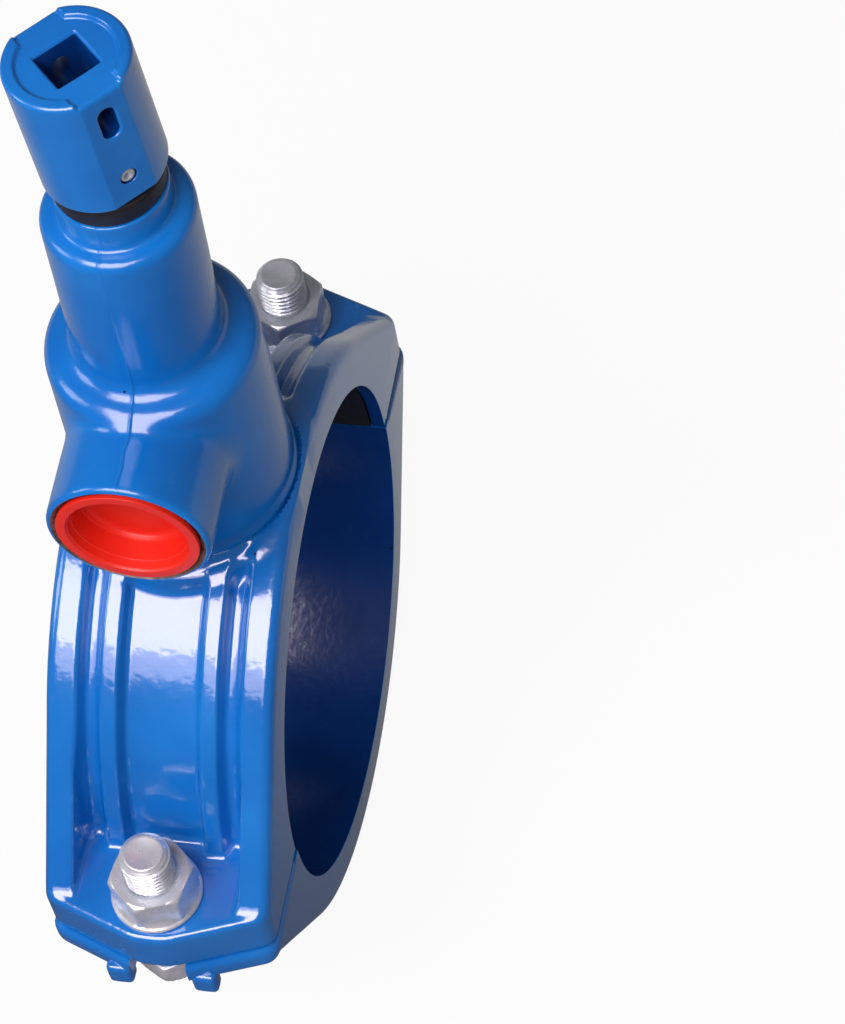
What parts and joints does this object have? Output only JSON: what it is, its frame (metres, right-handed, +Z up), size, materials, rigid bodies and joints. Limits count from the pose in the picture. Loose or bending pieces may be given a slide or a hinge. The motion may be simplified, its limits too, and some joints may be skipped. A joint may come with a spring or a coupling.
{
  "type": "tapping saddle",
  "caption": "Two-part clamp saddle for a plastic water main, with an upright service valve, a plugged side outlet and a square spindle cap.",
  "frame": {"origin": "centre of the pipe bore, at the middle of the saddle's width", "axes": "+X along the pipe, +Z up along the valve spindle, -Y towards the side outlet"},
  "size_m": [0.073, 0.251, 0.3862],
  "materials": {
    "blue_casting": "glossy fusion-bonded epoxy on cast iron",
    "zinc_steel": "zinc-plated steel, dull bright",
    "black_rubber": "smooth black rubber",
    "red_plastic": "glossy moulded polyethylene",
    "brass": "machined brass",
    "stainless": "turned stainless steel",
    "black_plastic": "moulded acetal"
  },
  "bodies": {
    "saddle": {"upper_saddle": "blue_casting", "lower_saddle": "blue_casting", "saddle_lining": "black_rubber", "front_bolt": "zinc_steel", "rear_bolt": "zinc_steel", "front_nut": "zinc_steel", "rear_nut": "zinc_steel", "valve_body": "blue_casting", "body_seal": "black_rubber", "seat_ring": "brass", "thrust_washer": "black_plastic", "gland_bush": "brass", "gland_lower_seal": "black_rubber", "gland_upper_seal": "black_rubber", "gland_outer_seal": "black_rubber", "dust_ring": "black_rubber"},
    "spindle": {"spindle": "stainless", "drive_cap": "blue_casting", "set_screw": "zinc_steel"},
    "plunger": {"plunger_nut": "brass", "valve_plug": "brass", "plug_face": "black_rubber", "face_washer": "stainless", "face_screw": "stainless"},
    "plug": {"outlet_plug": "red_plastic"}
  },
  "joints": [
    {"name": "spindle_turn", "type": "hinge", "parent": "saddle", "child": "spindle", "pos_m": [0, 0, 0.2], "axis": [0, 0, 1], "range_deg": [0, 2340]},
    {"name": "plunger_lift", "type": "slide", "parent": "saddle", "child": "plunger", "axis": [0, 0, 1], "range_m": [0, 0.026]},
    {"name": "outlet_plug_pull", "type": "slide", "parent": "saddle", "child": "plug", "axis": [0, -1, 0], "range_m": [0, 0.014]}
  ],
  "couplings": [
    {"joint": "plunger_lift", "follows": "spindle_turn", "m_per_rad": 0.0006366}
  ]
}
